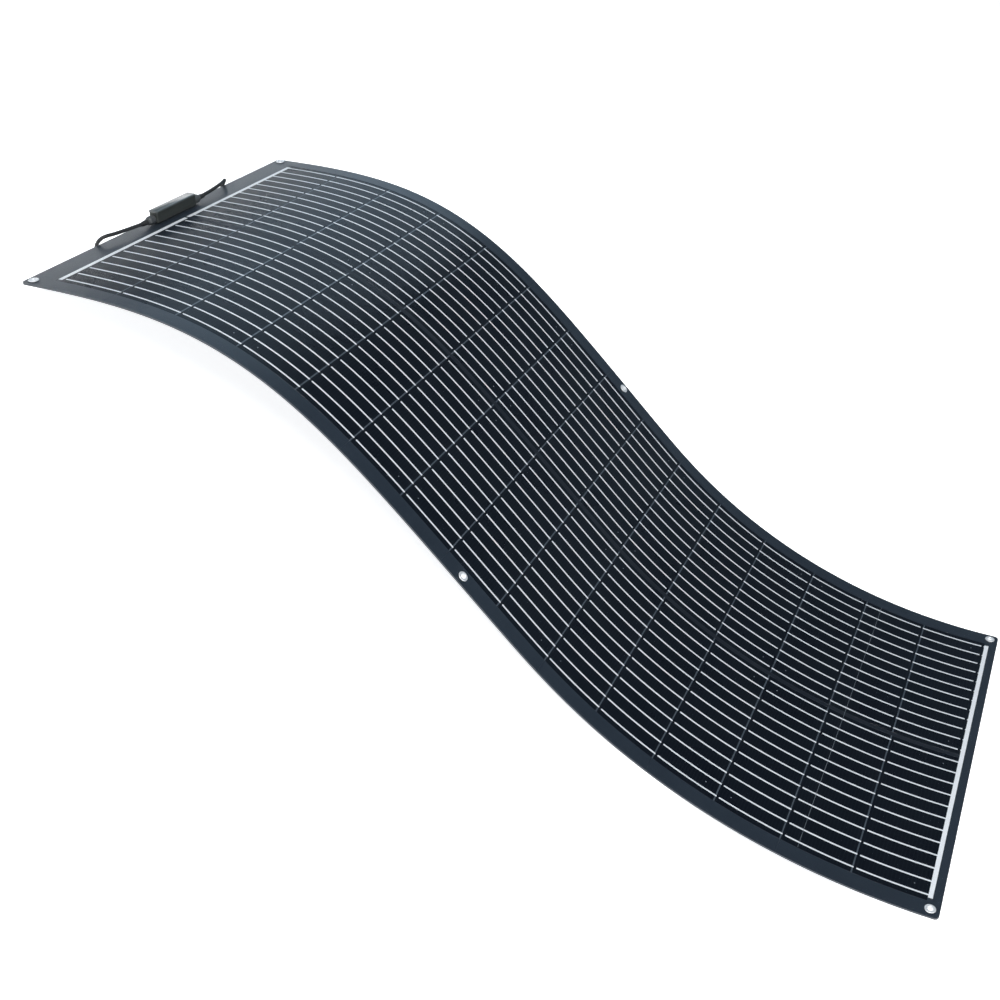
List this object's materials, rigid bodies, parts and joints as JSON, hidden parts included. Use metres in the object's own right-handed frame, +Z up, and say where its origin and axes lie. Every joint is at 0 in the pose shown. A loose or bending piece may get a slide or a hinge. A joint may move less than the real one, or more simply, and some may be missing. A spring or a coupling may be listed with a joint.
{
  "type": "flexible solar sheet",
  "caption": "Thin bendable solar sheet with two columns of dark cell strips, eyelets in its margins and a slim junction box with two leads at one end, lying in a gentle wave.",
  "frame": {"origin": "on the ground under the middle of the sheet's box at rest, leads not counted", "axes": "+X along the sheet from the junction-box end to the tail end, +Y across it, +Z up"},
  "size_m": [1.0739, 0.464, 0.1087],
  "materials": {
    "backsheet": "satin, dark blue-grey fibre laminate",
    "front_film": "clear, finely embossed",
    "cells": "near-black blue silicon",
    "ribbon": "tinned, bright",
    "eyelet": "nickel plated",
    "housing": "fine matt, dark grey",
    "seal": "matt",
    "contact": "plain",
    "lead": "matt black-grey sheath"
  },
  "bodies": {
    "section_1": {"backsheet_1": "backsheet", "front_film_1": "front_film", "near_cells_1": "cells", "far_cells_1": "cells", "eyelet_box_end_near": "eyelet", "washer_box_end_near": "eyelet", "eyelet_box_end_far": "eyelet", "washer_box_end_far": "eyelet", "box_end_bar_near": "ribbon", "box_end_bar_far": "ribbon", "box_pad": "seal", "box_base": "housing", "terminal_block": "contact", "lead_near": "lead", "lead_far": "lead", "lead_coil_near": "lead", "lead_coil_far": "lead", "connector_near": "housing", "connector_far": "housing"},
    "section_2": {"backsheet_2": "backsheet", "front_film_2": "front_film", "near_cells_2": "cells", "far_cells_2": "cells"},
    "section_3": {"backsheet_3": "backsheet", "front_film_3": "front_film", "near_cells_3": "cells", "far_cells_3": "cells"},
    "section_4": {"backsheet_4": "backsheet", "front_film_4": "front_film", "near_cells_4": "cells", "far_cells_4": "cells"},
    "section_5": {"backsheet_5": "backsheet", "front_film_5": "front_film", "near_cells_5": "cells", "far_cells_5": "cells", "eyelet_middle_near": "eyelet", "washer_middle_near": "eyelet", "eyelet_middle_far": "eyelet", "washer_middle_far": "eyelet"},
    "section_6": {"backsheet_6": "backsheet", "front_film_6": "front_film", "near_cells_6": "cells", "far_cells_6": "cells"},
    "section_7": {"backsheet_7": "backsheet", "front_film_7": "front_film", "near_cells_7": "cells", "far_cells_7": "cells"},
    "section_8": {"backsheet_8": "backsheet", "front_film_8": "front_film", "near_cells_8": "cells", "far_cells_8": "cells", "eyelet_tail_end_near": "eyelet", "washer_tail_end_near": "eyelet", "eyelet_tail_end_far": "eyelet", "washer_tail_end_far": "eyelet", "tail_end_bar": "ribbon"},
    "lid": {"box_lid": "housing", "box_seal": "seal"},
    "gland_near": {"gland_nut_near": "housing"},
    "gland_far": {"gland_nut_far": "housing"}
  },
  "joints": [
    {"name": "flex_1", "type": "hinge", "parent": "section_1", "child": "section_2", "pos_m": [-0.44149, 0, 0.067], "axis": [0, -1, 0], "range_deg": [0, 7.93]},
    {"name": "flex_2", "type": "hinge", "parent": "section_2", "child": "section_3", "pos_m": [-0.30576, 0, 0.10662], "axis": [0, -1, 0], "range_deg": [0, 20.16]},
    {"name": "flex_3", "type": "hinge", "parent": "section_3", "child": "section_4", "pos_m": [-0.16468, 0, 0.0971], "axis": [0, -1, 0], "range_deg": [0, 11.1]},
    {"name": "flex_4", "type": "hinge", "parent": "section_4", "child": "section_5", "pos_m": [-0.02752, 0, 0.06051], "axis": [0, -1, 0], "range_deg": [0, 1.31]},
    {"name": "flex_5", "type": "hinge", "parent": "section_5", "child": "section_6", "pos_m": [0.10882, 0, 0.02085], "axis": [0, -1, 0], "range_deg": [-8.92, 0]},
    {"name": "flex_6", "type": "hinge", "parent": "section_6", "child": "section_7", "pos_m": [0.24932, 0, 0.0028], "axis": [0, -1, 0], "range_deg": [-13.98, 0]},
    {"name": "flex_7", "type": "hinge", "parent": "section_7", "child": "section_8", "pos_m": [0.39002, 0, 0.01913], "axis": [0, -1, 0], "range_deg": [-14.67, 0]},
    {"name": "lid_lift", "type": "slide", "parent": "section_1", "child": "lid", "axis": [-0.4745, 0, 0.8802], "range_m": [0, 0.015]},
    {"name": "gland_near_turn", "type": "hinge", "parent": "section_1", "child": "gland_near", "pos_m": [-0.5257, -0.0406, 0.03073], "axis": [0, -1, 0], "continuous": true},
    {"name": "gland_far_turn", "type": "hinge", "parent": "section_1", "child": "gland_far", "pos_m": [-0.5257, 0.0424, 0.03073], "axis": [0, 1, 0], "continuous": true}
  ],
  "couplings": [
    {"joint": "flex_2", "follows": "flex_1", "ratio": 2.5385},
    {"joint": "flex_3", "follows": "flex_1", "ratio": 1.396},
    {"joint": "flex_4", "follows": "flex_1", "ratio": 0.16141},
    {"joint": "flex_5", "follows": "flex_1", "ratio": -1.1211},
    {"joint": "flex_6", "follows": "flex_1", "ratio": -1.7591},
    {"joint": "flex_7", "follows": "flex_1", "ratio": -1.8462}
  ]
}
